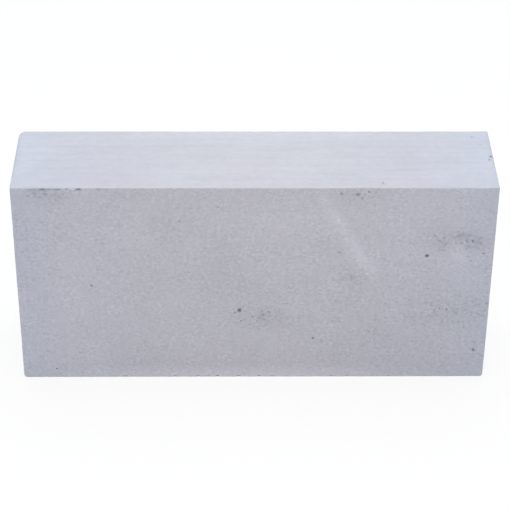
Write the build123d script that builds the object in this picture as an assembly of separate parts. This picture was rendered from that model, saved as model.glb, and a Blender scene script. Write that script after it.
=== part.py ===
"""Aerated concrete block: one wire-cut solid, standing on its bed as it is laid in a wall.

The origin is the centre of the bottom bed. +X runs along the length, +Y from the front face to
the back face, and +Z up. Sizes are in millimetres and angles in degrees.
"""

import os
from dataclasses import dataclass

from build123d import *

# Work size
LENGTH = 440.0
THICKNESS = 100.0
HEIGHT = 215.0

# Easing that cutting and handling leave on every arris
ARRIS_RADIUS = 0.8

# Knocked corners: what each has lost along the length, the thickness and the height
BACK_TOP_LEFT_LOSS = (4.0, 6.5, 5.0)
FRONT_BOTTOM_RIGHT_LOSS = (4.5, 4.0, 4.5)
FRONT_BOTTOM_LEFT_LOSS = (2.5, 2.5, 2.5)

# How far the bites in the front face's two long arrises lean out of the face beside them
TOP_CHIP_LEAN = 62.0
BOTTOM_CHIP_LEAN = 45.0


@dataclass(frozen=True)
class Chip:
    """A bite out of a long arris of the front face, placed from the block's left end."""

    along: float
    length: float
    depth: float


@dataclass(frozen=True)
class BlowHole:
    """A gas bubble that the cutting wire opened, placed along and across its face."""

    along: float
    across: float
    width: float
    depth: float


TOP_CHIPS = (
    Chip(along=26.0, length=18.0, depth=0.9),
    Chip(along=42.0, length=13.0, depth=0.8),
    Chip(along=61.5, length=7.0, depth=1.1),
    Chip(along=75.0, length=14.0, depth=0.6),
)
BOTTOM_CHIPS = (
    Chip(along=21.5, length=5.0, depth=0.8),
    Chip(along=167.0, length=5.0, depth=0.8),
    Chip(along=186.0, length=4.0, depth=0.7),
    Chip(along=206.0, length=5.5, depth=0.9),
)

# The holes that stand out from the fine pores: across is up from the bottom bed on the front
# face, and back from the front arris on the top bed
FRONT_HOLES = (
    BlowHole(along=207.0, across=79.5, width=3.2, depth=1.5),
    BlowHole(along=202.0, across=76.0, width=1.6, depth=0.7),
    BlowHole(along=228.0, across=72.0, width=4.4, depth=0.9),
    BlowHole(along=378.0, across=140.5, width=3.0, depth=1.4),
    BlowHole(along=313.0, across=208.0, width=4.8, depth=0.9),
    BlowHole(along=298.0, across=208.0, width=2.2, depth=0.8),
    BlowHole(along=420.0, across=157.0, width=2.6, depth=0.9),
    BlowHole(along=429.0, across=31.5, width=2.2, depth=1.0),
    BlowHole(along=276.5, across=46.5, width=2.0, depth=0.9),
    BlowHole(along=69.0, across=108.5, width=1.8, depth=0.8),
)
TOP_HOLES = (
    BlowHole(along=336.0, across=9.5, width=1.8, depth=0.8),
    BlowHole(along=438.0, across=52.0, width=2.8, depth=1.2),
    BlowHole(along=436.0, across=47.0, width=1.8, depth=0.8),
)

# Planes that chips and holes are placed on: each has its origin at the left end of a front
# arris, X along that arris and Z out of the block
FRONT_FACE = Plane((-LENGTH / 2, -THICKNESS / 2, 0), x_dir=(1, 0, 0), z_dir=(0, -1, 0))
TOP_BED = Plane((-LENGTH / 2, -THICKNESS / 2, HEIGHT), x_dir=(1, 0, 0), z_dir=(0, 0, 1))
TOP_ARRIS = TOP_BED.rotated((TOP_CHIP_LEAN, 0, 0))
BOTTOM_ARRIS = FRONT_FACE.rotated((BOTTOM_CHIP_LEAN, 0, 0))


def plain_block() -> Part:
    """The block as it leaves the cutting wires: the bed raised to full height, arrises eased."""
    block = extrude(Rectangle(LENGTH, THICKNESS), amount=HEIGHT)
    return fillet(block.edges(), ARRIS_RADIUS)


def knock_corner(block: Part, right: int, back: int, top: int, loss: tuple) -> Part:
    """Breaks off one corner, named by its three sides as 1 or -1, along a flat plane."""
    corner = Vector(right * LENGTH / 2, back * THICKNESS / 2, HEIGHT * (1 + top) / 2)
    along_length, along_thickness, along_height = loss
    break_plane = Plane(
        origin=corner - Vector(right * along_length, 0, 0),
        z_dir=(right / along_length, back / along_thickness, top / along_height),
    )
    return split(block, bisect_by=break_plane, keep=Keep.BOTTOM)


def dimple(surface: Plane, along: float, across: float, width: float, depth: float) -> Part:
    """A ball that cuts a round dimple of this width and depth into a surface."""
    radius = (width**2 / 4 + depth**2) / (2 * depth)
    return surface * Pos(along, across, radius - depth) * Sphere(radius)


def chip_cutters(arris: Plane, chips: tuple) -> list:
    """The balls that bite into one arris."""
    return [dimple(arris, chip.along, 0, chip.length, chip.depth) for chip in chips]


def hole_cutters(face: Plane, holes: tuple) -> list:
    """The balls that open one face's blow holes."""
    return [dimple(face, hole.along, hole.across, hole.width, hole.depth) for hole in holes]


def aerated_block() -> Part:
    """The whole block, with its knocked corners, chipped arrises and open blow holes."""
    block = plain_block()
    block = knock_corner(block, right=-1, back=1, top=1, loss=BACK_TOP_LEFT_LOSS)
    block = knock_corner(block, right=1, back=-1, top=-1, loss=FRONT_BOTTOM_RIGHT_LOSS)
    block = knock_corner(block, right=-1, back=-1, top=-1, loss=FRONT_BOTTOM_LEFT_LOSS)
    return block - [
        *chip_cutters(TOP_ARRIS, TOP_CHIPS),
        *chip_cutters(BOTTOM_ARRIS, BOTTOM_CHIPS),
        *hole_cutters(FRONT_FACE, FRONT_HOLES),
        *hole_cutters(TOP_BED, TOP_HOLES),
    ]


os.makedirs("parts", exist_ok=True)
export_step(aerated_block(), "parts/aerated_block.step")
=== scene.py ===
"""Looks of one aerated concrete block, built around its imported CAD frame.

The block stands on its bed as it is laid in a wall: +X runs along its length, +Y from its front
face to its back face and +Z up. Sizes and places are in millimetres and angles in degrees, and a
finished mesh is scaled once to Blender's metres.
"""

import logging
import math
import random
from collections.abc import Iterator
from dataclasses import dataclass, field
from enum import Enum

import bmesh
import bpy
from mathutils import Color, Matrix, Vector, noise


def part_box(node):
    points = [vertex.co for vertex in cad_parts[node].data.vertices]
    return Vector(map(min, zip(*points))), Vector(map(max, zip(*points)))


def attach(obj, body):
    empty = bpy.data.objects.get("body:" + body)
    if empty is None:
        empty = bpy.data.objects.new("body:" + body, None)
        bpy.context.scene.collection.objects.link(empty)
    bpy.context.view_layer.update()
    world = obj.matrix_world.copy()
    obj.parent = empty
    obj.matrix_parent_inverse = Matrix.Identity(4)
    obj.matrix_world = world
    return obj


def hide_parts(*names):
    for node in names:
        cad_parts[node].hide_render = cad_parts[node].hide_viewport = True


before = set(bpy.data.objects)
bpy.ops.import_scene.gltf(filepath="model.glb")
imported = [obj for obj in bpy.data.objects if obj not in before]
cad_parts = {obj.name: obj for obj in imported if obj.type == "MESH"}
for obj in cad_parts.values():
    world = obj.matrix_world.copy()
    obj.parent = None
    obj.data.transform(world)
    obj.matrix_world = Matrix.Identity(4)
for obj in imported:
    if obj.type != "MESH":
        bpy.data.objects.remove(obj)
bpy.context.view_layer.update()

# Blender's own types, under short names
Tree = bpy.types.NodeTree
Socket = bpy.types.NodeSocket
Node = bpy.types.Node
Thing = bpy.types.Object
Shape = bmesh.types.BMesh

LOG = logging.getLogger("aerated_block")

# A millimetre in metres, the area in square millimetres that pores are counted on, and the start of chance
MM = 0.001
DENSITY_AREA = 100.0**2
SEED = 2040

NODE = "aerated_block"
BODY = "root"
PIECE = "aerated_concrete_block"
DEPTH_NAME = "depth_below_cut"
BAKE_MAP = "OFBake"


def linear_colour(hex_colour: str) -> tuple[float, float, float, float]:
    """Turns a written colour into the one that a shader takes.

    Args:
        hex_colour: An sRGB colour such as "#bdbec8".

    Returns:
        The linear colour, with full alpha.
    """
    shares = [part / 255 for part in bytes.fromhex(hex_colour.lstrip("#"))]
    return (*Color(shares).from_srgb_to_scene_linear(), 1.0)


def unit_noise(point: Vector) -> float:
    """Gives smooth noise from 0 to 1 at a point, with features about one unit across."""
    return 0.5 + 0.5 * noise.noise(point)


def add_node(tree: Tree, kind: str, inputs: dict, **settings: object) -> Node:
    """Adds one node to a tree, with its settings, values and links.

    Args:
        tree: The tree that the node goes into.
        kind: The shader node's kind, such as "Math".
        inputs: Input names or numbers, each with a value, an output socket or a node whose first
            output is meant.
        settings: The node's own properties.

    Returns:
        The new node.
    """
    node = tree.nodes.new(f"ShaderNode{kind}")
    for name, setting in settings.items():
        setattr(node, name, setting)
    for name, given in inputs.items():
        source = given.outputs[0] if isinstance(given, Node) else given
        if isinstance(source, Socket):
            tree.links.new(source, node.inputs[name])
        else:
            node.inputs[name].default_value = source
    return node


def blank_tree(owner: bpy.types.Material | bpy.types.World) -> Tree:
    """Gives the emptied node tree of a material or a world."""
    owner.use_nodes = True
    owner.node_tree.nodes.clear()
    return owner.node_tree


def put_in_scene(name: str, data: bpy.types.ID) -> Thing:
    """Makes an object of a mesh, a lamp or a camera and links it to the scene.

    Args:
        name: The object's name.
        data: What it shows.

    Returns:
        The object.
    """
    thing = bpy.data.objects.new(name, data)
    bpy.context.scene.collection.objects.link(thing)
    return thing


class Side(Enum):
    """A side of the block: its direction outwards, and the direction that is along it."""

    FRONT = ((0, -1, 0), (1, 0, 0))
    BACK = ((0, 1, 0), (-1, 0, 0))
    TOP = ((0, 0, 1), (1, 0, 0))
    BOTTOM = ((0, 0, -1), (1, 0, 0))
    LEFT = ((-1, 0, 0), (0, -1, 0))
    RIGHT = ((1, 0, 0), (0, 1, 0))

    @property
    def outward(self) -> Vector:
        """The direction out of the block."""
        return Vector(self.value[0])

    @property
    def along(self) -> Vector:
        """The direction along the side, to the right as seen from outside."""
        return Vector(self.value[1])

    @property
    def across(self) -> Vector:
        """The direction across the side, upwards as seen from outside."""
        return self.outward.cross(self.along)

    @property
    def is_bed(self) -> bool:
        """Whether the side is one of the two beds that mortar goes on."""
        return self in (Side.TOP, Side.BOTTOM)


class Grain(Enum):
    """How finely a cutter is faceted, as the icosphere's subdivisions."""

    COARSE = 2
    FINE = 3


@dataclass(frozen=True)
class Cuboid:
    """The box that the cutting wires leave."""

    low: Vector
    high: Vector

    @classmethod
    def of_node(cls, node: str) -> "Cuboid":
        """Reads the box of a CAD node, in millimetres."""
        low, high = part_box(node)
        return cls(low / MM, high / MM)

    @property
    def size(self) -> Vector:
        """The box's length, thickness and height."""
        return self.high - self.low

    @property
    def centre(self) -> Vector:
        """The middle of the box."""
        return (self.low + self.high) / 2

    def reach(self, direction: Vector) -> float:
        """Gives the box's size in a direction along one of its axes."""
        return abs(self.size.dot(direction))

    def frame_of(self, side: Side) -> Matrix:
        """Gives a side's own frame.

        Args:
            side: One of the box's sides.

        Returns:
            A matrix whose origin is the side's lower left corner as seen from outside, with X
            along the side, Y across it and Z out of the block.
        """
        origin = self.centre
        for direction, share in ((side.outward, 0.5), (side.along, -0.5), (side.across, -0.5)):
            origin = origin + direction * self.reach(direction) * share
        turn = Matrix((side.along, side.across, side.outward)).transposed()
        return Matrix.Translation(origin) @ turn.to_4x4()

    def depths(self, point: Vector) -> dict[Side, float]:
        """Gives how far a point lies inside the box, below each side."""
        return {
            Side.FRONT: point.y - self.low.y,
            Side.BACK: self.high.y - point.y,
            Side.TOP: self.high.z - point.z,
            Side.BOTTOM: point.z - self.low.z,
            Side.LEFT: point.x - self.low.x,
            Side.RIGHT: self.high.x - point.x,
        }

    def side_of(self, point: Vector, normal: Vector, facing: float = 0.5) -> Side:
        """Finds the side that a face belongs to.

        Args:
            point: The face's middle.
            normal: The face's direction.
            facing: What turning fully towards a side is worth, in millimetres of nearness.

        Returns:
            The nearest side, or of two near ones the one that the face turns towards.
        """
        depths = self.depths(point + normal * facing)
        return min(depths, key=depths.get)


@dataclass(frozen=True)
class BlowHole:
    """A gas bubble that the cutting wire opened, placed from a side's lower left corner.

    Its stretch is its length as a share of its width, and its grain is how finely it is faceted.
    """

    side: Side
    along: float
    across: float
    width: float
    depth: float
    stretch: float = 1.0
    grain: Grain = Grain.COARSE


@dataclass(frozen=True)
class PoreCluster:
    """A patch where small bubbles gathered, with its spread along and across the side."""

    side: Side
    along: float
    across: float
    spread: tuple[float, float]
    count: int
    widest: float


@dataclass(frozen=True)
class Chip:
    """A bite out of the arris between two sides, placed from the first side's left end."""

    side: Side
    other: Side
    along: float
    length: float
    depth: float
    lean: float


@dataclass(frozen=True)
class KnockedCorner:
    """A corner that broke off: the sides that met there, and the loss along each one's direction."""

    sides: tuple[Side, Side, Side]
    loss: tuple[float, float, float]


@dataclass(frozen=True)
class Mark:
    """A soft-edged mark on a side, placed at its middle and turned from the side's length.

    It is a flat ball whose reach is its thickness, and it fades out over the soft share of its radius.
    """

    side: Side
    along: float
    across: float
    length: float
    width: float
    strength: float
    turn: float = 0.0
    soft: float = 0.6
    reach: float = 14.0


# The holes that stand out, on the two sides that the photograph shows
HOLES = (
    BlowHole(Side.FRONT, 206.1, 79.4, width=4.9, depth=1.7, stretch=0.85, grain=Grain.FINE),
    BlowHole(Side.FRONT, 201.9, 76.6, width=3.0, depth=1.15, stretch=0.9),
    BlowHole(Side.FRONT, 207.7, 67.2, width=2.2, depth=0.9, stretch=1.4),
    BlowHole(Side.FRONT, 218.5, 71.8, width=2.6, depth=0.95, stretch=1.1),
    BlowHole(Side.FRONT, 222.7, 67.1, width=1.9, depth=0.8),
    BlowHole(Side.FRONT, 228.3, 73.7, width=7.6, depth=0.78, stretch=0.9, grain=Grain.FINE),
    BlowHole(Side.FRONT, 229.4, 68.5, width=2.6, depth=0.8, stretch=0.7),
    BlowHole(Side.FRONT, 233.4, 77.6, width=2.0, depth=0.9, stretch=1.6),
    BlowHole(Side.FRONT, 239.1, 72.3, width=2.6, depth=0.6),
    BlowHole(Side.FRONT, 250.2, 86.8, width=1.3, depth=0.7, stretch=3.0),
    BlowHole(Side.FRONT, 378.5, 141.1, width=3.8, depth=1.6, stretch=1.15, grain=Grain.FINE),
    BlowHole(Side.FRONT, 312.5, 208.0, width=4.0, depth=1.1, stretch=1.4, grain=Grain.FINE),
    BlowHole(Side.FRONT, 316.7, 203.9, width=3.4, depth=1.1),
    BlowHole(Side.FRONT, 322.4, 210.8, width=1.7, depth=1.0, stretch=1.5),
    BlowHole(Side.FRONT, 297.7, 208.9, width=3.0, depth=1.05, stretch=1.25),
    BlowHole(Side.FRONT, 419.8, 157.0, width=4.0, depth=1.08, stretch=0.8, grain=Grain.FINE),
    BlowHole(Side.FRONT, 414.4, 156.8, width=2.8, depth=0.7, stretch=1.4, grain=Grain.FINE),
    BlowHole(Side.FRONT, 409.4, 163.0, width=7.5, depth=0.5, stretch=0.4, grain=Grain.FINE),
    BlowHole(Side.FRONT, 430.4, 143.6, width=1.9, depth=0.9, stretch=1.7),
    BlowHole(Side.FRONT, 416.5, 140.3, width=1.9, depth=0.7, stretch=1.5),
    BlowHole(Side.FRONT, 429.0, 32.0, width=4.8, depth=1.2, stretch=0.85, grain=Grain.FINE),
    BlowHole(Side.FRONT, 276.0, 46.5, width=4.0, depth=1.12, stretch=0.85, grain=Grain.FINE),
    BlowHole(Side.FRONT, 68.6, 108.0, width=3.6, depth=1.05, stretch=1.1),
    BlowHole(Side.FRONT, 31.5, 10.7, width=1.9, depth=1.1),
    BlowHole(Side.FRONT, 400.4, 80.0, width=2.1, depth=1.1),
    BlowHole(Side.FRONT, 393.7, 81.2, width=1.7, depth=1.0),
    BlowHole(Side.FRONT, 186.2, 194.5, width=1.5, depth=0.7, stretch=3.0),
    BlowHole(Side.FRONT, 297.9, 145.0, width=1.8, depth=0.85, stretch=2.1),
    BlowHole(Side.FRONT, 437.7, 86.9, width=3.6, depth=0.78, stretch=0.8, grain=Grain.FINE),
    BlowHole(Side.FRONT, 436.9, 78.8, width=3.4, depth=0.76, stretch=0.8, grain=Grain.FINE),
    BlowHole(Side.FRONT, 437.0, 99.6, width=3.0, depth=0.7, stretch=0.8, grain=Grain.FINE),
    BlowHole(Side.FRONT, 342.8, 87.1, width=1.5, depth=0.9),
    BlowHole(Side.TOP, 335.5, 9.3, width=4.2, depth=0.95, stretch=0.75, grain=Grain.FINE),
    BlowHole(Side.TOP, 438.0, 54.2, width=5.0, depth=1.4, stretch=0.8),
    BlowHole(Side.TOP, 424.0, 88.9, width=3.4, depth=0.9, stretch=0.8),
    BlowHole(Side.TOP, 434.5, 68.0, width=2.2, depth=0.6, stretch=2.0),
    BlowHole(Side.TOP, 435.8, 48.6, width=3.0, depth=1.0),
)

# The bites in the front face's two long arrises, and the pits beside the top one
BITES = (
    BlowHole(Side.FRONT, 20.5, 213.3, width=2.4, depth=0.62, stretch=6.0, grain=Grain.FINE),
    BlowHole(Side.FRONT, 29.0, 213.3, width=2.9, depth=0.85, stretch=2.4, grain=Grain.FINE),
    BlowHole(Side.FRONT, 35.0, 213.3, width=2.4, depth=0.65, stretch=4.0, grain=Grain.FINE),
    BlowHole(Side.FRONT, 42.0, 213.2, width=2.8, depth=0.8, stretch=3.2, grain=Grain.FINE),
    BlowHole(Side.FRONT, 51.0, 213.7, width=2.0, depth=0.75, stretch=2.6, grain=Grain.FINE),
    BlowHole(Side.FRONT, 61.7, 213.4, width=3.3, depth=1.15, stretch=1.9, grain=Grain.FINE),
    BlowHole(Side.FRONT, 68.5, 213.9, width=1.5, depth=0.6, stretch=4.0, grain=Grain.FINE),
    BlowHole(Side.FRONT, 79.0, 213.8, width=1.9, depth=0.7, stretch=3.2, grain=Grain.FINE),
    BlowHole(Side.FRONT, 22.1, 207.6, width=3.8, depth=0.72, stretch=1.2, grain=Grain.FINE),
    BlowHole(Side.FRONT, 26.5, 205.5, width=2.2, depth=0.7, stretch=1.3),
    BlowHole(Side.FRONT, 32.1, 208.7, width=3.8, depth=0.72, stretch=1.4, grain=Grain.FINE),
    BlowHole(Side.FRONT, 41.0, 207.6, width=2.8, depth=0.75, stretch=1.2),
    BlowHole(Side.FRONT, 43.5, 205.5, width=2.0, depth=0.7, stretch=1.3),
    BlowHole(Side.FRONT, 97.5, 1.0, width=2.6, depth=1.15, stretch=1.6),
    BlowHole(Side.FRONT, 144.6, 1.0, width=2.8, depth=1.25, stretch=1.3),
    BlowHole(Side.FRONT, 167.0, 1.0, width=2.8, depth=1.25, stretch=1.8),
    BlowHole(Side.FRONT, 176.6, 1.0, width=2.1, depth=1.10, stretch=1.2),
    BlowHole(Side.FRONT, 185.5, 1.0, width=3.0, depth=1.30, stretch=1.4),
    BlowHole(Side.FRONT, 205.6, 1.0, width=3.2, depth=1.35, stretch=1.6),
    BlowHole(Side.FRONT, 225.3, 1.0, width=2.8, depth=1.25, stretch=1.4),
    BlowHole(Side.FRONT, 237.1, 1.0, width=2.6, depth=1.20, stretch=1.0),
    BlowHole(Side.FRONT, 294.3, 1.0, width=2.8, depth=1.25, stretch=1.2),
    BlowHole(Side.FRONT, 309.7, 1.0, width=2.6, depth=1.20, stretch=1.2),
    BlowHole(Side.FRONT, 349.6, 1.0, width=2.2, depth=1.10, stretch=1.2),
)

# The patches of small bubbles: where the photograph shows them, and guessed on the other sides
CLUSTERS = (
    PoreCluster(Side.FRONT, 316.0, 206.0, spread=(14.0, 5.0), count=5, widest=1.5),
    PoreCluster(Side.FRONT, 225.0, 71.0, spread=(18.0, 8.0), count=14, widest=1.5),
    PoreCluster(Side.FRONT, 416.0, 154.0, spread=(19.0, 12.0), count=26, widest=1.5),
    PoreCluster(Side.FRONT, 34.0, 205.0, spread=(15.0, 8.0), count=18, widest=1.5),
    PoreCluster(Side.FRONT, 281.0, 44.0, spread=(10.0, 4.0), count=5, widest=1.4),
    PoreCluster(Side.FRONT, 397.0, 80.0, spread=(8.0, 4.0), count=4, widest=1.4),
    PoreCluster(Side.FRONT, 311.0, 115.0, spread=(13.0, 10.0), count=14, widest=1.3),
    PoreCluster(Side.BACK, 96.0, 150.0, spread=(20.0, 12.0), count=18, widest=1.7),
    PoreCluster(Side.BACK, 402.0, 200.0, spread=(16.0, 7.0), count=14, widest=1.6),
    PoreCluster(Side.BACK, 292.0, 58.0, spread=(18.0, 9.0), count=10, widest=1.5),
    PoreCluster(Side.LEFT, 30.0, 60.0, spread=(14.0, 16.0), count=10, widest=1.5),
    PoreCluster(Side.RIGHT, 70.0, 150.0, spread=(12.0, 16.0), count=12, widest=1.6),
)

# The bites that take in both sides of an arris, and how far they lean out of the front face
TOP_LEAN = 62.0
BOTTOM_LEAN = 45.0
CHIPS = (
    Chip(Side.FRONT, Side.TOP, along=57.0, length=5.0, depth=1.3, lean=TOP_LEAN),
    Chip(Side.FRONT, Side.TOP, along=73.0, length=6.0, depth=0.6, lean=TOP_LEAN),
    Chip(Side.FRONT, Side.BOTTOM, along=21.5, length=5.0, depth=0.9, lean=BOTTOM_LEAN),
    Chip(Side.FRONT, Side.BOTTOM, along=167.0, length=5.0, depth=0.9, lean=BOTTOM_LEAN),
    Chip(Side.FRONT, Side.BOTTOM, along=186.0, length=4.0, depth=0.8, lean=BOTTOM_LEAN),
    Chip(Side.FRONT, Side.BOTTOM, along=206.0, length=5.5, depth=1.0, lean=BOTTOM_LEAN),
)

# The corners that broke off
CORNERS = (
    KnockedCorner((Side.LEFT, Side.BACK, Side.TOP), loss=(3.6, 6.0, 4.5)),
    KnockedCorner((Side.RIGHT, Side.FRONT, Side.BOTTOM), loss=(3.0, 2.8, 3.0)),
    KnockedCorner((Side.LEFT, Side.FRONT, Side.BOTTOM), loss=(2.8, 2.8, 2.8)),
)

# Dirt that sits in the tooth, in specks, and a dark bar along the bites in the front face's top arris
GRIME = (
    # A dark bar along the bites in the front face's top arris
    Mark(Side.FRONT, 31.0, 213.6, length=36.0, width=5.6, strength=0.7, soft=0.4, reach=2.4),
    Mark(Side.FRONT, 27.0, 208.0, length=24.0, width=13.0, strength=0.5, turn=-8.0),
    Mark(Side.FRONT, 42.0, 206.0, length=15.0, width=12.0, strength=0.4),
    Mark(Side.FRONT, 33.0, 207.0, length=62.0, width=30.0, strength=0.3, turn=-6.0),
    Mark(Side.FRONT, 310.0, 118.0, length=46.0, width=40.0, strength=0.5, turn=20.0),
    Mark(Side.FRONT, 415.5, 158.0, length=36.0, width=25.0, strength=0.6, turn=-10.0),
    Mark(Side.FRONT, 391.0, 154.0, length=28.0, width=17.0, strength=0.4, turn=-10.0),
    Mark(Side.FRONT, 401.5, 165.0, length=22.0, width=11.0, strength=0.36, turn=6.0),
    Mark(Side.FRONT, 404.0, 158.0, length=90.0, width=44.0, strength=0.5, turn=-8.0),
    Mark(Side.FRONT, 224.0, 71.0, length=84.0, width=40.0, strength=0.6, turn=-4.0),
    Mark(Side.FRONT, 312.0, 207.0, length=64.0, width=26.0, strength=0.25),
    Mark(Side.FRONT, 396.0, 80.0, length=110.0, width=50.0, strength=0.3, turn=6.0),
    Mark(Side.FRONT, 440.0, 165.0, length=50.0, width=170.0, strength=0.35, soft=1.0),
    Mark(Side.FRONT, 228.3, 73.0, length=12.0, width=15.0, strength=0.8),
    Mark(Side.FRONT, 196.0, 112.0, length=170.0, width=100.0, strength=0.32, turn=-8.0, soft=1.0),
    Mark(Side.FRONT, 18.0, 158.0, length=110.0, width=130.0, strength=0.3, soft=1.0),
    Mark(Side.FRONT, 390.0, 50.0, length=420.0, width=240.0, strength=0.5, turn=8.0, soft=1.0),
    Mark(Side.TOP, 62.0, 73.0, length=110.0, width=4.0, strength=0.3),
    Mark(Side.TOP, 26.0, 47.0, length=62.0, width=4.5, strength=0.45),
    Mark(Side.TOP, 52.0, 34.0, length=100.0, width=4.0, strength=0.25),
    Mark(Side.TOP, 348.0, 72.0, length=116.0, width=4.0, strength=0.45),
    Mark(Side.TOP, 391.0, 43.4, length=116.0, width=5.0, strength=0.45),
    Mark(Side.TOP, 353.0, 31.4, length=76.0, width=4.0, strength=0.3),
    Mark(Side.TOP, 0.0, 50.0, length=10.0, width=150.0, strength=0.9, soft=1.0),
    Mark(Side.TOP, 440.0, 50.0, length=10.0, width=150.0, strength=0.75, soft=1.0),
    Mark(Side.BACK, 96.0, 150.0, length=76.0, width=42.0, strength=0.7, turn=12.0),
    Mark(Side.BACK, 402.0, 200.0, length=56.0, width=26.0, strength=0.7),
    Mark(Side.BACK, 292.0, 58.0, length=90.0, width=44.0, strength=0.5, turn=-8.0),
    Mark(Side.LEFT, 30.0, 60.0, length=50.0, width=64.0, strength=0.6, turn=15.0),
    Mark(Side.RIGHT, 70.0, 150.0, length=46.0, width=64.0, strength=0.6, turn=-12.0),
    Mark(Side.BOTTOM, 330.0, 40.0, length=120.0, width=34.0, strength=0.6),
)

# Rubbed places, paler than the rest, and painted light that makes the top and the front's bottom edge paler
SCUFFS_AND_PAINTED_LIGHT = (
    Mark(Side.FRONT, 303.0, 166.0, length=180.0, width=20.0, strength=0.075, turn=-61.0, soft=1.0),
    Mark(Side.FRONT, 318.0, 136.0, length=70.0, width=34.0, strength=0.075, turn=-61.0, soft=1.0),
    Mark(Side.FRONT, 258.0, 180.0, length=260.0, width=60.0, strength=0.045, soft=1.0),
    # Painted light: a chip floor in the top arris made paler, lit like the top
    Mark(Side.FRONT, 57.0, 214.6, length=6.0, width=4.0, strength=0.14, reach=4.0),
    # Painted light: the front face's bottom edge paler, as light bounced off the floor would make it
    Mark(Side.FRONT, 220.0, 0.0, length=640.0, width=36.0, strength=0.22, soft=1.0),
    Mark(Side.FRONT, 407.0, 145.0, length=36.0, width=20.0, strength=0.12, turn=-70.0, soft=1.0),
    # Painted light: the top paler towards its back, as the overhead lamp lights it
    Mark(Side.TOP, 220.0, 100.0, length=640.0, width=70.0, strength=0.05, soft=1.0),
    # Painted light: the top paler towards its two ends, where the overhead lamp falls off
    Mark(Side.TOP, 0.0, 60.0, length=180.0, width=300.0, strength=0.035, soft=1.0),
    Mark(Side.TOP, 440.0, 60.0, length=160.0, width=300.0, strength=0.03, soft=1.0),
    Mark(Side.BACK, 205.0, 118.0, length=170.0, width=24.0, strength=0.06, turn=40.0, soft=1.0),
    Mark(Side.BOTTOM, 130.0, 55.0, length=220.0, width=50.0, strength=0.05, soft=1.0),
)


@dataclass
class CutterLayer:
    """Cutters that stay clear of each other, so that they can be taken away in one cut.

    Attributes:
        points: All their points.
        faces: All their faces, by the numbers of their points.
        spheres: The middle and reach of each one.
    """

    points: list[Vector] = field(default_factory=list)
    faces: list[tuple[int, ...]] = field(default_factory=list)
    spheres: list[tuple[Vector, float]] = field(default_factory=list)

    def has_room(self, middle: Vector, reach: float) -> bool:
        """Tells whether a cutter of this reach stays clear of the layer's others."""
        return all((middle - other).length > reach + far for other, far in self.spheres)

    def as_object(self) -> Thing:
        """Makes the object that holds the layer's cutters."""
        mesh = bpy.data.meshes.new("bubble_cutters")
        mesh.from_pydata(self.points, [], self.faces)
        return put_in_scene(mesh.name, mesh)


class BubbleCutters:
    """Rough balls and slabs, joined in layers, that bubbles, chips and breaks are cut with."""

    def __init__(self) -> None:
        """Starts with no cutters."""
        self.layers: list[CutterLayer] = []
        self.balls = {grain: self.ball(grain) for grain in Grain}

    @staticmethod
    def ball(grain: Grain) -> Shape:
        """Makes the unit ball that every cutter of a grain is a copy of."""
        shape = bmesh.new()
        bmesh.ops.create_icosphere(shape, subdivisions=grain.value, radius=1.0)
        return shape

    def join(self, shape: Shape, place: Matrix, roughness: float, lumps: float) -> None:
        """Joins one roughened copy of a shape to the first layer that has room for it.

        Args:
            shape: The shape to copy.
            place: Its place and size.
            roughness: How far its points move, as a share of their distance from its middle.
            lumps: How many lumps there are to its radius.
        """
        middle = place.translation
        points = []
        for vert in shape.verts:
            swell = 1 + roughness * noise.noise(vert.co * lumps + middle)
            points.append(place @ (vert.co * swell))
        reach = max((point - middle).length for point in points)
        layer = next((layer for layer in self.layers if layer.has_room(middle, reach)), None)
        if layer is None:
            layer = CutterLayer()
            self.layers.append(layer)
        first = len(layer.points)
        layer.points.extend(points)
        layer.faces.extend(tuple(first + vert.index for vert in face.verts) for face in shape.faces)
        layer.spheres.append((middle, reach))

    def finish(self) -> list[Thing]:
        """Makes one object of each layer."""
        for shape in self.balls.values():
            shape.free()
        return [layer.as_object() for layer in self.layers]


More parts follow.
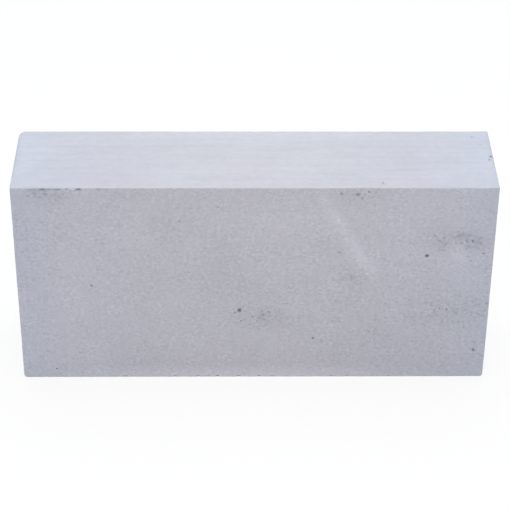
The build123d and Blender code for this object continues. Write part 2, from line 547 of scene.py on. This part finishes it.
@dataclass
class AeratedBlock:
    """The block: wire-cut from its cake, eased and chipped at its arrises, and open-pored.

    Attributes:
        box: The box that the wires leave.
        cells: The sizes of the mesh's cells along the length, the thickness and the height.
        arris_radius: The easing of every arris.
        support: The width of the narrow row of faces beside each arris.
        wander: How far the wires strayed into the block.
        wander_size: How far apart the wires' slow strayings are.
        tooth: The depth of the short unevenness on all sides.
        tooth_size: How far apart that unevenness is.
        drag: The depth of the lines that the wire dragged along the beds.
        drag_length: The length of those lines.
        drag_width: How far apart they are.
        crumble: How much the arrises have crumbled at most.
        crumble_size: How far apart the crumbled places are.
        face_pores: How many open pores there are on 100 square centimetres of a face or an end.
        bed_pores: The same on a bed, where the wire smeared most of them shut.
        narrowest_pore: The width of the smallest pores that have a shape of their own.
        widest_pore: The width of the widest scattered pores.
        stray_holes: How many wide blow holes there are on 100 square centimetres of a hidden side.
        widest_hole: The width of the widest of those.
        narrow_bias: The power by which narrow pores are commoner than wide ones.
        pore_depths: The least and most depth of a drawn pore, as shares of its width.
        pore_stretches: Its least and most stretch.
        bubble_roughness: How uneven a bubble's wall is, as a share of its depth.
        bubble_lumps: How many lumps there are to its radius.
        nick_spacing: How far apart the small nicks along the arrises are, on average.
        nick_lengths: Their least and most length.
        nick_depths: Their least and most depth.
        nick_leans: How far they lean out of the first side, at least and at most.
        chip_roundness: A chip's least radius, as shares of its length and of its depth.
        chip_roughness: How uneven its wall is.
        chip_lumps: How many lumps there are to its radius.
        fine_chip: The length above which it is faceted finely.
        corner_easing: How much the edges of a broken corner are eased, as a share of its bite.
        break_slab: Half the width of the slab that breaks it off, as a share of its greatest loss.
        break_cuts: How many cuts make that slab's faces fine enough to be rough.
        break_roughness: How uneven the break is.
        break_lumps: How many lumps there are to half the slab's width.
        most_corners: The corners that a face may keep when the mesh is cleaned.
        shortest_edge: The length under which that closes an edge.
        sharp_angle: The angle between two faces above which their edge looks sharp.
    """

    box: Cuboid
    cells: tuple[float, float, float] = (3.0, 2.5, 3.0)
    arris_radius: float = 0.8
    support: float = 0.8
    wander: float = 0.15
    wander_size: float = 60.0
    tooth: float = 0.10
    tooth_size: float = 8.0
    drag: float = 0.14
    drag_length: float = 170.0
    drag_width: float = 5.0
    crumble: float = 0.3
    crumble_size: float = 7.0
    face_pores: float = 34.0
    bed_pores: float = 8.0
    narrowest_pore: float = 0.7
    widest_pore: float = 1.3
    stray_holes: float = 1.0
    widest_hole: float = 4.0
    narrow_bias: int = 3
    pore_depths: tuple[float, float] = (0.35, 0.6)
    pore_stretches: tuple[float, float] = (1.0, 1.7)
    bubble_roughness: float = 0.3
    bubble_lumps: float = 1.3
    nick_spacing: float = 16.0
    nick_lengths: tuple[float, float] = (0.8, 3.0)
    nick_depths: tuple[float, float] = (0.3, 0.6)
    nick_leans: tuple[float, float] = (25.0, 65.0)
    chip_roundness: tuple[float, float] = (0.25, 1.6)
    chip_roughness: float = 0.3
    chip_lumps: float = 2.0
    fine_chip: float = 4.0
    corner_easing: float = 0.30
    break_slab: float = 1.5
    break_cuts: int = 15
    break_roughness: float = 0.06
    break_lumps: float = 3.0
    most_corners: int = 4
    shortest_edge: float = 0.005
    sharp_angle: float = 35.0

    def build(self) -> Thing:
        """Makes the whole block.

        Returns:
            The block's object, in metres, at the origin.
        """
        shape = self.wire_cut()
        self.weather(shape)
        block = self.as_object(shape)
        self.cut_away(block, self.cutters())
        self.settle(block)
        return block

    def wire_cut(self) -> Shape:
        """Makes the block as it leaves the wires, with eased arrises and a mesh fine enough to weather."""
        cuboid = bmesh.new()
        place = Matrix.Translation(self.box.centre) @ Matrix.Diagonal((*self.box.size, 1))
        bmesh.ops.create_cube(cuboid, size=1.0, matrix=place)
        bmesh.ops.bevel(
            cuboid,
            geom=cuboid.edges[:],
            offset=self.arris_radius,
            offset_type="OFFSET",
            affect="EDGES",
            segments=2,
            profile=0.5,
            material=-1,
        )
        # A bevelled mesh stores new faces in an order that varies from run to run, and its copy does not
        shape = cuboid.copy()
        cuboid.free()
        sides = sorted(shape.faces, key=lambda face: face.calc_area())[-len(Side) :]
        bmesh.ops.inset_individual(shape, faces=sides, thickness=self.support, use_even_offset=True)
        for axis, cell in enumerate(self.cells):
            reach = self.box.size[axis]
            lines = [edge for edge in shape.edges if self.span(edge, axis) > reach / 2]
            cuts = round(reach / cell) - 1
            bmesh.ops.subdivide_edges(shape, edges=lines, cuts=cuts, use_grid_fill=True)
        shape.normal_update()
        return shape

    @staticmethod
    def span(edge: bmesh.types.BMEdge, axis: int) -> float:
        """Gives how far an edge reaches along an axis."""
        start, end = edge.verts
        return abs(end.co[axis] - start.co[axis])

    def weather(self, shape: Shape) -> None:
        """Moves the mesh's points inwards to where the wires and the handling left the surface."""
        for vert in shape.verts:
            vert.co -= vert.normal * self.loss(vert.co, vert.normal)

    def loss(self, point: Vector, normal: Vector) -> float:
        """Gives how much of the block is missing at a point of its surface.

        Args:
            point: The point on the plain block.
            normal: The surface's direction there.

        Returns:
            The depth lost.
        """
        lost = self.wander * unit_noise(point / self.wander_size)
        lost += self.tooth * unit_noise(point / self.tooth_size)
        line = Vector((point.x / self.drag_length, point.y / self.drag_width, point.z / self.drag_length))
        lost += self.drag * abs(normal.z) * unit_noise(line)
        _, second, *_ = sorted(self.box.depths(point).values())
        if second < self.arris_radius:
            lost += self.crumble * max(0.0, noise.noise(point / self.crumble_size))
        return lost

    @staticmethod
    def as_object(shape: Shape) -> Thing:
        """Turns the shape into a linked object."""
        mesh = bpy.data.meshes.new(PIECE)
        shape.to_mesh(mesh)
        shape.free()
        return put_in_scene(PIECE, mesh)

    def cutters(self) -> list[Thing]:
        """Makes everything that is cut out of the block, as a few objects."""
        cutters = BubbleCutters()
        for hole in self.holes():
            self.join_hole(cutters, hole)
        for chip in self.chips():
            self.join_chip(cutters, chip)
        for corner in CORNERS:
            self.join_corner(cutters, corner)
        return cutters.finish()

    def holes(self) -> Iterator[BlowHole]:
        """Gives every open bubble: the placed ones, the clusters' and the scattered ones."""
        yield from HOLES
        yield from BITES
        draw = random.Random(SEED)
        for cluster in CLUSTERS:
            for _ in range(cluster.count):
                along = draw.gauss(cluster.along, cluster.spread[0] / 2)
                across = draw.gauss(cluster.across, cluster.spread[1] / 2)
                yield self.pore(draw, cluster.side, along, across, cluster.widest)
        for side in Side:
            length = self.box.reach(side.along)
            breadth = self.box.reach(side.across)
            area = length * breadth / DENSITY_AREA
            pores = self.bed_pores if side.is_bed else self.face_pores
            strays = 0.0 if side in (Side.FRONT, Side.TOP) else self.stray_holes
            for density, widest in ((pores, self.widest_pore), (strays, self.widest_hole)):
                for _ in range(round(density * area)):
                    yield self.pore(draw, side, draw.uniform(0, length), draw.uniform(0, breadth), widest)

    def pore(self, draw: random.Random, side: Side, along: float, across: float, widest: float) -> BlowHole:
        """Draws one small open pore.

        Args:
            draw: The seeded source of chance.
            side: The side that it opens in.
            along: Its place along the side.
            across: Its place across the side.
            widest: The width that it may have.

        Returns:
            The pore. Narrow ones are far more common than wide ones.
        """
        width = self.narrowest_pore + (widest - self.narrowest_pore) * draw.random() ** self.narrow_bias
        depth = width * draw.uniform(*self.pore_depths)
        return BlowHole(side, along, across, width, depth, stretch=draw.uniform(*self.pore_stretches))

    def chips(self) -> Iterator[Chip]:
        """Gives every bite in the arrises: the placed ones and small nicks along all of them."""
        yield from CHIPS
        draw = random.Random(SEED + 1)
        pairs = ((side, other) for side in (Side.FRONT, Side.BACK) for other in Side)
        ends = ((side, other) for side in (Side.LEFT, Side.RIGHT) for other in (Side.TOP, Side.BOTTOM))
        for side, other in (*pairs, *ends):
            if abs(side.outward.dot(other.outward)) > 0:
                continue
            run = self.box.reach(side.outward.cross(other.outward))
            for _ in range(round(run / self.nick_spacing)):
                yield Chip(
                    side,
                    other,
                    along=draw.uniform(0, run),
                    length=draw.uniform(*self.nick_lengths),
                    depth=draw.uniform(*self.nick_depths),
                    lean=draw.uniform(*self.nick_leans),
                )

    def join_hole(self, cutters: BubbleCutters, hole: BlowHole) -> None:
        """Joins the ball that opens a bubble to the cutters."""
        radius = (hole.width**2 / 4 + hole.depth**2) / (2 * hole.depth)
        middle = Matrix.Translation((hole.along, hole.across, radius - hole.depth))
        place = self.box.frame_of(hole.side) @ middle
        size = Matrix.Diagonal((radius * hole.stretch, radius, radius, 1))
        roughness = self.bubble_roughness * min(1.0, hole.depth / radius)
        cutters.join(cutters.balls[hole.grain], place @ size, roughness, self.bubble_lumps)

    def join_chip(self, cutters: BubbleCutters, chip: Chip) -> None:
        """Joins the long ball that bites into an arris to the cutters."""
        of_length, of_depth = self.chip_roundness
        radius = max(of_length * chip.length, of_depth * chip.depth)
        half_chord = math.sqrt(1 - (1 - chip.depth / radius) ** 2)
        reach = chip.length / 2 / half_chord
        lean = math.radians(chip.lean)
        out = chip.side.outward * math.cos(lean) + chip.other.outward * math.sin(lean)
        run = chip.side.outward.cross(chip.other.outward)
        run *= 1 if run.dot(chip.side.along + chip.side.across) > 0 else -1
        arris = self.box.centre
        for direction, share in ((chip.side.outward, 0.5), (chip.other.outward, 0.5), (run, -0.5)):
            arris = arris + direction * self.box.reach(direction) * share
        middle = arris + run * chip.along + out * (radius - chip.depth)
        turn = Matrix((run, out.cross(run), out)).transposed().to_4x4()
        size = Matrix.Diagonal((reach, radius, radius, 1))
        ball = cutters.balls[Grain.FINE if chip.length > self.fine_chip else Grain.COARSE]
        place = Matrix.Translation(middle) @ turn @ size
        cutters.join(ball, place, self.chip_roughness, self.chip_lumps)

    def join_corner(self, cutters: BubbleCutters, corner: KnockedCorner) -> None:
        """Joins the rough slabs that break a corner off, and ease the break's edges, to the cutters."""
        point = self.box.centre
        lean = Vector((0, 0, 0))
        for side, loss in zip(corner.sides, corner.loss):
            point = point + side.outward * self.box.reach(side.outward) / 2
            lean += side.outward / loss
        bite = 1 / lean.length
        main = lean.normalized()
        self.join_slab(cutters, point, main, bite, max(corner.loss))
        for side in corner.sides:
            between = main + side.outward
            eased = bite * (1 / between.length + self.corner_easing)
            self.join_slab(cutters, point, between.normalized(), eased, max(corner.loss))

    def join_slab(
        self, cutters: BubbleCutters, corner: Vector, out: Vector, bite: float, loss: float
    ) -> None:
        """Joins one rough slab to the cutters.

        Args:
            cutters: The cutters.
            corner: The whole corner.
            out: The direction that the slab's cut faces.
            bite: How far below the corner the cut is.
            loss: The most that the corner has lost.
        """
        half = self.break_slab * loss
        slab = bmesh.new()
        bmesh.ops.create_cube(slab, size=2.0)
        bmesh.ops.subdivide_edges(slab, edges=slab.edges[:], cuts=self.break_cuts, use_grid_fill=True)
        slab.verts.index_update()
        turn = out.to_track_quat("Z", "Y").to_matrix().to_4x4()
        place = Matrix.Translation(corner + out * (half - bite)) @ turn @ Matrix.Scale(half, 4)
        cutters.join(slab, place, self.break_roughness, self.break_lumps)
        slab.free()

    @staticmethod
    def cut_away(block: Thing, cutters: list[Thing]) -> None:
        """Takes the cutters out of the block, one layer after the other."""
        for layer in cutters:
            cut = block.modifiers.new(layer.name, "BOOLEAN")
            cut.operation = "DIFFERENCE"
            cut.solver = "MANIFOLD"
            cut.object = layer
        graph = bpy.context.evaluated_depsgraph_get()
        opened = bpy.data.meshes.new_from_object(block.evaluated_get(graph))
        block.modifiers.clear()
        spent = [block.data, *(layer.data for layer in cutters)]
        block.data = opened
        for mesh in spent:
            bpy.data.meshes.remove(mesh)
        opened.name = PIECE
        opened.materials.clear()

    def settle(self, block: Thing) -> None:
        """Maps the block's mesh, notes each point's depth, and scales it to metres."""
        shape = bmesh.new()
        shape.from_mesh(block.data)
        many_sided = [face for face in shape.faces if len(face.verts) > self.most_corners]
        bmesh.ops.triangulate(shape, faces=many_sided)
        bmesh.ops.dissolve_degenerate(shape, edges=shape.edges[:], dist=self.shortest_edge)
        depth = shape.verts.layers.float.new(DEPTH_NAME)
        for vert in shape.verts:
            vert[depth] = min(self.box.depths(vert.co).values())
        sheet = CutSheet(self.box)
        chart = shape.loops.layers.uv.new(BAKE_MAP)
        for face in shape.faces:
            side = self.box.side_of(face.calc_center_median(), face.normal)
            for loop in face.loops:
                loop[chart].uv = sheet.place(side, loop.vert.co)
        bmesh.ops.scale(shape, vec=(MM, MM, MM), verts=shape.verts[:])
        shape.to_mesh(block.data)
        shape.free()
        block.data.shade_smooth()
        block.data.set_sharp_from_angle(angle=math.radians(self.sharp_angle))


class CutSheet:
    """The flat layout of the block's six sides that its patterns are baked on."""

    GAP = 5.0
    COLUMNS = ((Side.FRONT, Side.BACK, Side.TOP, Side.BOTTOM), (Side.LEFT, Side.RIGHT))

    def __init__(self, box: Cuboid) -> None:
        """Lays the sides out in two columns on a square sheet.

        Args:
            box: The block's box.
        """
        self.charts: dict[Side, Matrix] = {}
        left = self.GAP
        sheet = 0.0
        for column in self.COLUMNS:
            bottom = self.GAP
            for side in column:
                place = Matrix.Translation((left, bottom, 0))
                self.charts[side] = place @ box.frame_of(side).inverted()
                bottom += box.reach(side.across) + self.GAP
            left += max(box.reach(side.along) for side in column) + self.GAP
            sheet = max(sheet, bottom, left)
        self.scale = 1 / sheet

    def place(self, side: Side, point: Vector) -> Vector:
        """Lays a point of one side on the sheet, as shares of the sheet's width."""
        return (self.charts[side] @ point).xy * self.scale


@dataclass(frozen=True)
class Unevenness:
    """A cloudy pattern of lighter and darker places.

    Attributes:
        size: How far apart the places are.
        contrast: How much lighter or darker they get, as a share.
        long: How much longer they are along the block's length.
        detail: How many finer layers the pattern has.
        fineness: How strong each finer layer is, as a share of the one before.
    """

    size: float
    contrast: float = 1.0
    long: float = 1.0
    detail: float = 1.0
    fineness: float = 0.55

    def cloud(self, tree: Tree, spot: Socket) -> Node:
        """Adds the bare pattern, from 0 to 1 and mostly near 0.5."""
        drawn_out = add_node(tree, "Mapping", {"Vector": spot, "Scale": (1 / self.long, 1, 1)})
        return add_node(
            tree,
            "TexNoise",
            {
                "Vector": drawn_out,
                "Scale": 1 / (self.size * MM),
                "Detail": self.detail,
                "Roughness": self.fineness,
            },
        )

    def shade(self, tree: Tree, spot: Socket) -> Node:
        """Adds the pattern as a shade about 0."""
        return add_node(
            tree,
            "MapRange",
            {"Value": self.cloud(tree, spot), "To Min": -self.contrast, "To Max": self.contrast},
        )


@dataclass(frozen=True)
class WireCutAeratedConcrete:
    """Autoclaved aerated concrete, cut by wires while soft.

    It is a matt, chalky, pale lilac-grey stone foam. The wire tears a fine sandy tooth on the faces
    and ends, and smears the beds, so that those look smoother and have long faint lines. Painted shade
    and dust darken the open pores and chips, and dark specks are painted shade of pinholes and dirt
    that sits in the tooth. Rubbing leaves pale scuffs, and painted light makes the top paler towards its
    back and ends, the front face's bottom edge paler, and one chip in the top arris lit like the top.

    Attributes:
        middle: The colour in the middle of the block's length.
        ends: The cooler colour towards its ends.
        end_sharpness: How late that colour sets in towards the ends, as a power.
        roughness: How matt the surface is.
        bed_limits: How upright the surface's direction is where a bed's finish starts and is full.
        sand: The sandy tooth of the faces and ends, coarse enough to show in a picture.
        patches: Where the tooth is stronger and weaker.
        smear: The smoothed tooth of the beds.
        lines: The lines that the wire dragged along the beds.
        clouds: The broad patches that uneven drying leaves.
        pits: The pattern whose lowest places are specks: painted shade of pinholes, and tooth that holds
            dirt.
        clean_limit: How low a place of that pattern has to be to be a speck where the block is clean.
        dirty_limit: The same where it is dirtiest.
        bed_drop: How much lower both limits are on a bed.
        speck_edge: The width of a speck's soft edge, on the pattern's own scale.
        speck_shade: How dark the specks are.
        film: How much the dirtiest place is dulled all over.
        pore_shade: How dark the painted shade and dust at the bottom of an open pore are.
        shade_start: The depth at which a pore starts to darken, below the cut's own unevenness.
        pore_depth: The depth at which it is darkest.
        relief: The height of the bump that the tooth gives.
    """

    middle: str = "#bebdc6"
    ends: str = "#babdca"
    end_sharpness: float = 3.0
    roughness: float = 0.93
    bed_limits: tuple[float, float] = (0.6, 0.8)
    sand: Unevenness = Unevenness(size=2.4, contrast=0.25, long=1.3, detail=3.0)
    patches: Unevenness = Unevenness(size=9.0, contrast=1.4, detail=2.0)
    smear: Unevenness = Unevenness(size=3.8, contrast=0.065, long=1.5)
    lines: Unevenness = Unevenness(size=6.0, contrast=0.06, long=18.0, detail=2.0)
    clouds: Unevenness = Unevenness(size=38.0, contrast=0.055, detail=3.0)
    pits: Unevenness = Unevenness(size=3.4, long=1.3, detail=2.0)
    clean_limit: float = 0.25
    dirty_limit: float = 0.45
    bed_drop: float = 0.1
    speck_edge: float = 0.14
    speck_shade: float = 0.14
    film: float = 0.09
    pore_shade: float = 0.50
    shade_start: float = 0.38
    pore_depth: float = 1.15
    relief: float = 0.12

    def material(self, box: Cuboid) -> bpy.types.Material:
        """Makes the finish's material.

        Args:
            box: The block that it is for, in millimetres.

        Returns:
            The material.
        """
        material = bpy.data.materials.new("wire_cut_aerated_concrete")
        tree = blank_tree(material)
        place = add_node(tree, "TexCoord", {})
        spot = place.outputs["Object"]
        bed = self.bed_share(tree, place.outputs["Normal"])
        tooth = self.tooth(tree, spot, bed)
        grime = self.marks(tree, spot, box, GRIME)
        specks = self.specks(tree, spot, bed, grime)
        # The specks: painted shade of pinholes and dirt in the tooth
        pitted = add_node(tree, "Math", {0: specks, 1: -self.speck_shade, 2: tooth}, operation="MULTIPLY_ADD")
        shade = add_node(tree, "Math", {0: grime, 1: -self.film, 2: pitted}, operation="MULTIPLY_ADD")
        # The rubbed scuffs, and painted light in the same kind of pale marks
        for part in (self.clouds.shade(tree, spot), self.marks(tree, spot, box, SCUFFS_AND_PAINTED_LIGHT)):
            shade = add_node(tree, "Math", {0: shade, 1: part}, operation="ADD")
        tone = add_node(tree, "Math", {0: 1.0, 1: shade}, operation="ADD")
        # Painted shade and dust in the pores and chips, darker with depth
        tone = add_node(tree, "Math", {0: tone, 1: self.open_shade(tree)}, operation="MULTIPLY")
        colour = add_node(
            tree, "VectorMath", {0: self.tint_towards_ends(tree, spot, box), "Scale": tone}, operation="SCALE"
        )
        bump = add_node(tree, "Bump", {"Height": pitted, "Distance": self.relief * MM})
        shader = add_node(
            tree, "BsdfPrincipled", {"Base Color": colour, "Roughness": self.roughness, "Normal": bump}
        )
        add_node(tree, "OutputMaterial", {"Surface": shader})
        return material

    def bed_share(self, tree: Tree, normal: Socket) -> Node:
        """Adds the share of a bed's finish at a point: 1 on the beds and 0 on the other sides."""
        parts = add_node(tree, "SeparateXYZ", {"Vector": normal})
        upright = add_node(tree, "Math", {0: parts.outputs["Z"]}, operation="ABSOLUTE")
        start, full = self.bed_limits
        return add_node(tree, "MapRange", {"Value": upright, "From Min": start, "From Max": full})

    def tooth(self, tree: Tree, spot: Socket, bed: Node) -> Node:
        """Adds the wire's tooth: sandy in patches on the faces and ends, smeared and lined on the beds.

        Args:
            tree: The material's tree.
            spot: The point on the block.
            bed: The share of a bed's finish.

        Returns:
            A node that gives the tooth's shade, about 0.
        """
        patchy = add_node(tree, "Math", {0: 1.0, 1: self.patches.shade(tree, spot)}, operation="ADD")
        torn = add_node(tree, "Math", {0: self.sand.shade(tree, spot), 1: patchy}, operation="MULTIPLY")
        smeared = add_node(
            tree,
            "Math",
            {0: self.smear.shade(tree, spot), 1: self.lines.shade(tree, spot)},
            operation="ADD",
        )
        return add_node(tree, "Mix", {"Factor": bed, "A": torn, "B": smeared})

    def specks(self, tree: Tree, spot: Socket, bed: Node, grime: Node) -> Node:
        """Adds the dark specks, painted shade of pinholes and dirt in the tooth.

        A few lie on a clean face, many where it is dirty, and none on a clean bed.

        Args:
            tree: The material's tree.
            spot: The point on the block.
            bed: The share of a bed's finish.
            grime: How dirty the point is, from 0 to 1.

        Returns:
            A node that gives 1 in a speck and 0 beside it.
        """
        limit = add_node(
            tree, "MapRange", {"Value": grime, "To Min": self.clean_limit, "To Max": self.dirty_limit}
        )
        limit = add_node(tree, "Math", {0: bed, 1: -self.bed_drop, 2: limit}, operation="MULTIPLY_ADD")
        below = add_node(tree, "Math", {0: limit, 1: self.pits.cloud(tree, spot)}, operation="SUBTRACT")
        return add_node(
            tree,
            "MapRange",
            {"Value": below, "From Min": -self.speck_edge / 2, "From Max": self.speck_edge / 2},
            interpolation_type="SMOOTHSTEP",
        )

    @staticmethod
    def marks(tree: Tree, spot: Socket, box: Cuboid, kind: tuple[Mark, ...]) -> Node:
        """Adds all the marks of one kind.

        Args:
            tree: The material's tree.
            spot: The point on the block.
            box: The block's box.
            kind: The marks.

        Returns:
            A node that gives the marks' strength.
        """
        total = None
        for mark in kind:
            side_frame = box.frame_of(mark.side)
            turned = side_frame @ Matrix.Rotation(math.radians(mark.turn), 4, "Z")
            middle = side_frame @ Vector((mark.along, mark.across, 0))
            local = add_node(
                tree,
                "Mapping",
                {
                    "Vector": spot,
                    "Location": middle * MM,
                    "Rotation": turned.to_euler(),
                    "Scale": Vector((mark.length, mark.width, mark.reach)) / 2 * MM,
                },
                vector_type="TEXTURE",
            )
            fade = add_node(tree, "TexGradient", {"Vector": local}, gradient_type="SPHERICAL")
            edge = add_node(
                tree,
                "MapRange",
                {"Value": fade.outputs["Fac"], "From Max": mark.soft},
                interpolation_type="SMOOTHSTEP",
            )
            inputs = {0: edge, 1: mark.strength, 2: 0.0 if total is None else total}
            total = add_node(tree, "Math", inputs, operation="MULTIPLY_ADD")
        return total

    def open_shade(self, tree: Tree) -> Node:
        """Adds the painted shade and dust of pores and chips, by their depth: 1 at the cut face."""
        depth = add_node(tree, "Attribute", {}, attribute_name=DEPTH_NAME)
        return add_node(
            tree,
            "MapRange",
            {
                "Value": depth.outputs["Fac"],
                "From Min": self.shade_start,
                "From Max": self.pore_depth,
                "To Min": 1.0,
                "To Max": 1 - self.pore_shade,
            },
        )

    def tint_towards_ends(self, tree: Tree, spot: Socket, box: Cuboid) -> Socket:
        """Adds the ground colour, which turns a little cooler towards the block's ends.

        Args:
            tree: The material's tree.
            spot: The point on the block.
            box: The block's box.

        Returns:
            The colour's socket.
        """
        parts = add_node(tree, "SeparateXYZ", {"Vector": spot})
        half = box.size.x / 2 * MM
        share = add_node(tree, "Math", {0: parts, 1: half}, operation="DIVIDE")
        share = add_node(tree, "Math", {0: share}, operation="ABSOLUTE")
        spread = add_node(tree, "Math", {0: share, 1: self.end_sharpness}, operation="POWER")
        mix = add_node(
            tree,
            "Mix",
            {"Factor": spread, "A": linear_colour(self.middle), "B": linear_colour(self.ends)},
            data_type="RGBA",
        )
        return mix.outputs["Result"]


@dataclass(frozen=True)
class PhotoCamera:
    """The camera, where it stood for the photograph.

    Attributes:
        position: Its place.
        pitch: How far it looks down.
        yaw: How far it looks to the right of straight ahead.
        roll: How far its right side is tipped up.
        lens: Its focal length on the sensor below.
        sensor: The sensor's width.
    """

    position: tuple[float, float, float] = (-22.2, -1468.4, 1116.5)
    pitch: float = 34.48
    yaw: float = 0.91
    roll: float = 0.46
    lens: float = 132.34
    sensor: float = 36.0

    def build(self) -> None:
        """Makes the scene's camera."""
        data = bpy.data.cameras.new("photo_camera")
        data.lens = self.lens
        data.sensor_width = self.sensor
        camera = put_in_scene(data.name, data)
        ahead = Matrix.Rotation(-math.radians(self.yaw), 4, "Z")
        down = Matrix.Rotation(math.radians(90 - self.pitch), 4, "X")
        tip = Matrix.Rotation(math.radians(self.roll), 4, "Z")
        camera.matrix_world = Matrix.Translation(Vector(self.position) * MM) @ ahead @ down @ tip
        bpy.context.scene.camera = camera


@dataclass(frozen=True)
class SoftBox:
    """A large soft lamp that faces a target.

    Attributes:
        name: The lamp's name.
        position: Its place.
        target: The point that it faces.
        width: The side of its square panel.
        power: Its power in watts.
        colour: Its colour.
    """

    name: str
    position: tuple[float, float, float]
    target: tuple[float, float, float]
    width: float
    power: float
    colour: str

    def build(self) -> None:
        """Hangs the lamp."""
        data = bpy.data.lights.new(self.name, "AREA")
        data.size = self.width * MM
        data.energy = self.power
        data.color = linear_colour(self.colour)[:3]
        lamp = put_in_scene(self.name, data)
        towards = Vector(self.target) - Vector(self.position)
        lamp.location = Vector(self.position) * MM
        lamp.rotation_euler = towards.to_track_quat("-Z", "Y").to_euler()


@dataclass(frozen=True)
class Studio:
    """The white room that the block stands in.

    Attributes:
        floor_size: The side of the floor.
        floor_gap: How far the floor lies under the block, so that the two don't flicker.
        floor_colour: The floor's colour.
        floor_glow: The share of plain white that the camera sees in the floor, over its shadow.
        sky_colour: The colour of the light from all round.
        sky_strength: How strong that light is.
        lamps: The lamps.
    """

    floor_size: float = 30000.0
    floor_gap: float = 0.1
    floor_colour: str = "#fafafa"
    floor_glow: float = 0.85
    sky_colour: str = "#ffffff"
    sky_strength: float = 0.515
    lamps: tuple[SoftBox, ...] = (
        SoftBox(
            "front_softbox",
            position=(0.0, -1300.0, 1500.0),
            target=(0.0, -50.0, 110.0),
            width=1400.0,
            power=9.6,
            colour="#fffcfb",
        ),
        SoftBox(
            "overhead_softbox",
            position=(0.0, 360.0, 1500.0),
            target=(0.0, 0.0, 215.0),
            width=1300.0,
            power=13.9,
            colour="#f4fcff",
        ),
    )

    def build(self) -> None:
        """Makes the floor, the lamps and the world, and sets the plain view transform."""
        self.lay_floor()
        for lamp in self.lamps:
            lamp.build()
        self.light_world()
        bpy.context.scene.view_settings.view_transform = "Standard"

    def lay_floor(self) -> None:
        """Lays the floor, which the camera sees as white with the block's shadow on it."""
        shape = bmesh.new()
        place = Matrix.Translation((0, 0, -self.floor_gap * MM))
        bmesh.ops.create_grid(shape, size=self.floor_size * MM / 2, matrix=place)
        mesh = bpy.data.meshes.new("studio_floor")
        shape.to_mesh(mesh)
        shape.free()
        floor = put_in_scene(mesh.name, mesh)
        material = bpy.data.materials.new("matt_white_floor_paint")
        tree = blank_tree(material)
        paint = add_node(tree, "BsdfDiffuse", {"Color": linear_colour(self.floor_colour)})
        white = add_node(tree, "Emission", {"Strength": 1.0})
        seen = self.seen_share(tree)
        share = add_node(tree, "Math", {0: seen, 1: self.floor_glow}, operation="MULTIPLY")
        mix = add_node(tree, "MixShader", {0: share, 1: paint, 2: white})
        add_node(tree, "OutputMaterial", {"Surface": mix})
        mesh.materials.append(material)

    def light_world(self) -> None:
        """Fills the room with soft light, and shows white beyond the floor."""
        world = bpy.data.worlds.new("studio_world")
        tree = blank_tree(world)
        sky = add_node(
            tree, "Background", {"Color": linear_colour(self.sky_colour), "Strength": self.sky_strength}
        )
        white = add_node(tree, "Background", {"Color": linear_colour("#ffffff")})
        mix = add_node(tree, "MixShader", {0: self.seen_share(tree), 1: sky, 2: white})
        add_node(tree, "OutputWorld", {"Surface": mix})
        bpy.context.scene.world = world

    @staticmethod
    def seen_share(tree: Tree) -> Node:
        """Adds 1 for what is seen directly, in a reflection or through glass, and 0 for light."""
        path = add_node(tree, "LightPath", {})
        seen = add_node(
            tree,
            "Math",
            {0: path.outputs["Is Camera Ray"], 1: path.outputs["Is Glossy Ray"]},
            operation="MAXIMUM",
        )
        return add_node(
            tree, "Math", {0: seen, 1: path.outputs["Is Transmission Ray"]}, operation="MAXIMUM"
        )


def write_sizes() -> None:
    """Brings the view layer up to date."""
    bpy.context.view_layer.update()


def main() -> None:
    """Builds the block, dresses it, and sets the studio and the camera round it."""
    logging.basicConfig(level=logging.INFO, format="%(name)s: %(message)s")
    box = Cuboid.of_node(NODE)
    block = AeratedBlock(box).build()
    block.data.materials.append(WireCutAeratedConcrete().material(box))
    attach(block, BODY)
    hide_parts(NODE)
    block.data.calc_loop_triangles()
    LOG.info("%s rides on %s with %d triangles", block.name, BODY, len(block.data.loop_triangles))
    Studio().build()
    PhotoCamera().build()
    write_sizes()


if __name__ == "__main__":
    main()
